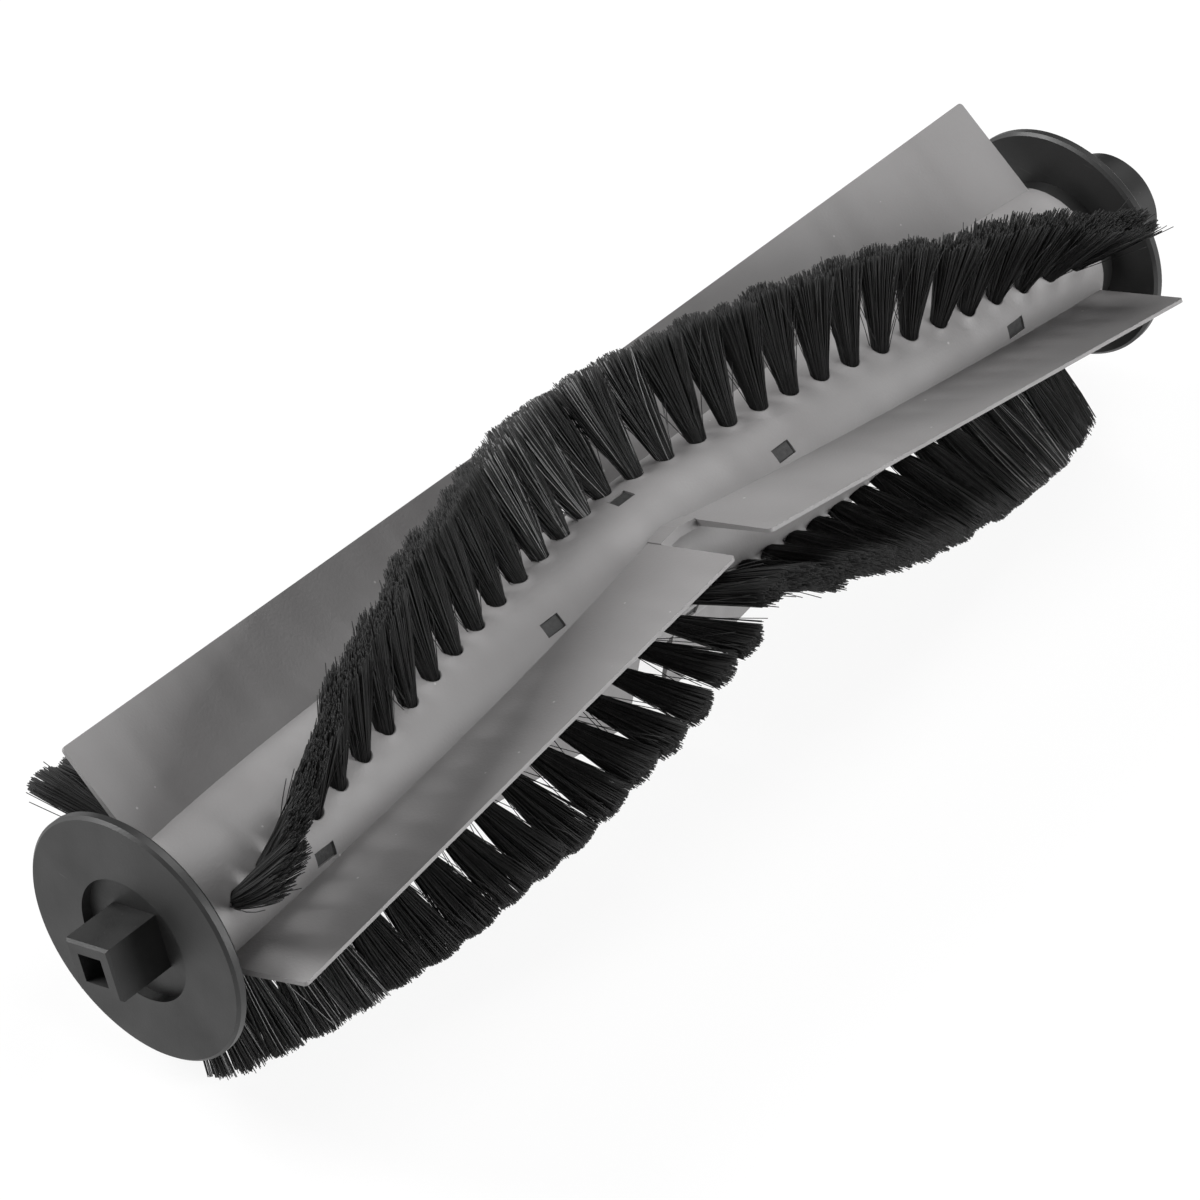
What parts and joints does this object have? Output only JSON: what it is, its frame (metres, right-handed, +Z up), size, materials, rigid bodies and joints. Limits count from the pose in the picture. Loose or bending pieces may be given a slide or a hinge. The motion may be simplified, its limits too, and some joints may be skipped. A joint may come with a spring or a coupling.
{
  "type": "robot vacuum roller brush",
  "caption": "Roller brush of a robot vacuum: grey rubber sleeve with skewed fins and rows of black bristle tufts in a V, between end discs with a square drive peg and a bearing cap.",
  "frame": {"origin": "centre of the drive end disc's outer face, on the roller's axis", "axes": "+X along the roller's axis from the drive end to the bearing end, +Z up as the roller lies on its bristle tips"},
  "size_m": [0.179, 0.045, 0.0442],
  "materials": {
    "core_plastic": "matte",
    "sleeve_rubber": "matte",
    "disc_plastic": "satin",
    "cap_plastic": "satin",
    "bristle_nylon": "matte",
    "washer_plastic": "matte",
    "pin_steel": "bright",
    "anchor_wire": "bright",
    "bush_brass": "bright"
  },
  "bodies": {
    "roller": {"core": "core_plastic", "rubber_sleeve": "sleeve_rubber", "drive_end_disc": "disc_plastic", "bearing_end_disc": "disc_plastic", "axle_pin": "pin_steel", "thrust_washer": "washer_plastic", "bristles_1_drive": "bristle_nylon", "anchors_1_drive": "anchor_wire", "bristles_1_bearing": "bristle_nylon", "anchors_1_bearing": "anchor_wire", "bristles_2_drive": "bristle_nylon", "anchors_2_drive": "anchor_wire", "bristles_2_bearing": "bristle_nylon", "anchors_2_bearing": "anchor_wire", "bristles_3_drive": "bristle_nylon", "anchors_3_drive": "anchor_wire", "bristles_3_bearing": "bristle_nylon", "anchors_3_bearing": "anchor_wire"},
    "cap": {"bearing_cap": "cap_plastic", "bearing_bush": "bush_brass"}
  },
  "joints": [
    {"name": "bearing_spin", "type": "hinge", "parent": "roller", "child": "cap", "pos_m": [0.16765, 0, 0], "axis": [1, 0, 0], "continuous": true}
  ]
}
